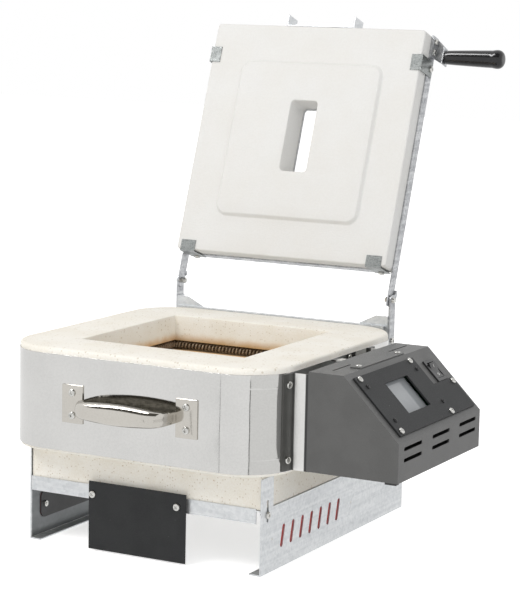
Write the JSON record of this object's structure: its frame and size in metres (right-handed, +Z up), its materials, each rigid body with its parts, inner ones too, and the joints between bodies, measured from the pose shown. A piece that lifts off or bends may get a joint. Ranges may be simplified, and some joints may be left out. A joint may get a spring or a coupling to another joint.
{
  "type": "bead annealing kiln",
  "caption": "Small square bench kiln with a steel-jacketed brick chamber that tilts off its floor brick, a hinged fibre lid that opens upward, a front lift handle and a side control box.",
  "frame": {"origin": "middle of the whole kiln's footprint at floor level, with the lid open as it rests", "axes": "+Z up; the front with the lift handle faces -Y; the control box is on the +X side"},
  "size_m": [0.4562, 0.4904, 0.5739],
  "materials": {
    "brick": "soft insulating firebrick, matt cream, scorched amber above the element",
    "fibre": "vacuum-formed ceramic fibre board, matt white",
    "polished_steel": "bright polished stainless sheet",
    "galvanised": "galvanised sheet with a fine spangle",
    "screw_steel": "bright zinc",
    "box_paint": "charcoal powder coat with a fine texture",
    "black_plate": "matt black",
    "black_screws": "black oxide",
    "black_plastic": "matt black",
    "switch_plastic": "satin black",
    "grip_plastic": "glossy black",
    "red_inset": "satin red",
    "element_wire": "oxidised resistance wire, dark brown",
    "tube_ceramic": "unglazed",
    "display_glass": "grey screen",
    "board_green": "solder mask",
    "terminal_plastic": "cream"
  },
  "bodies": {
    "stand": {"side_panel_left": "galvanised", "side_panel_right": "galvanised", "front_rail": "galvanised", "rear_rail": "galvanised", "floor_brick": "brick", "panel_insets": "red_inset", "inset_nuts": "screw_steel", "notice_plate": "black_plate", "notice_spacers": "black_plastic", "notice_screws": "screw_steel", "rail_screws": "screw_steel", "tilt_bolts": "screw_steel"},
    "chamber": {"brick_ring": "brick", "steel_jacket": "polished_steel", "lift_handle": "polished_steel", "box_brackets": "polished_steel", "rear_plate": "galvanised", "hinge_post_left": "galvanised", "hinge_post_right": "galvanised", "box_back_plate": "galvanised", "handle_screws": "screw_steel", "post_screws": "screw_steel", "lid_pivot_bolts": "screw_steel", "bracket_screws": "screw_steel", "box_screws": "screw_steel", "panel_screws": "screw_steel", "top_cover_screws": "screw_steel", "control_box": "box_paint", "top_cover": "box_paint", "control_panel": "black_plate", "board_screws": "black_screws", "cord_gland": "black_plastic", "relay": "black_plastic", "box_bumper": "black_plastic", "switch_housing": "switch_plastic", "heating_element": "element_wire", "element_tubes": "tube_ceramic", "thermocouple": "tube_ceramic", "display": "display_glass", "controller_board": "board_green", "terminal_block": "terminal_plastic"},
    "lid": {"lid_slab": "fibre", "lid_arm_left": "galvanised", "lid_arm_right": "galvanised", "lid_cross_angle": "galvanised", "lid_clips": "galvanised", "clip_screws": "screw_steel", "front_bracket": "galvanised", "slot_plate": "galvanised", "grip_bracket": "galvanised", "grip_screws": "screw_steel", "lid_grip": "grip_plastic"},
    "rocker": {"switch_rocker": "switch_plastic"}
  },
  "joints": [
    {"name": "chamber_tilt", "type": "hinge", "parent": "stand", "child": "chamber", "pos_m": [-0.0624, 0.13451, 0.052], "axis": [-1, 0, 0], "range_deg": [0, 40]},
    {"name": "lid_hinge", "type": "hinge", "parent": "chamber", "child": "lid", "pos_m": [-0.0624, 0.13451, 0.252], "axis": [1, 0, 0], "range_deg": [0, 109.45]},
    {"name": "power_switch", "type": "hinge", "parent": "chamber", "child": "rocker", "pos_m": [0.18407, 0.01721, 0.19754], "axis": [0, -1, 0], "range_deg": [0, 16]}
  ]
}
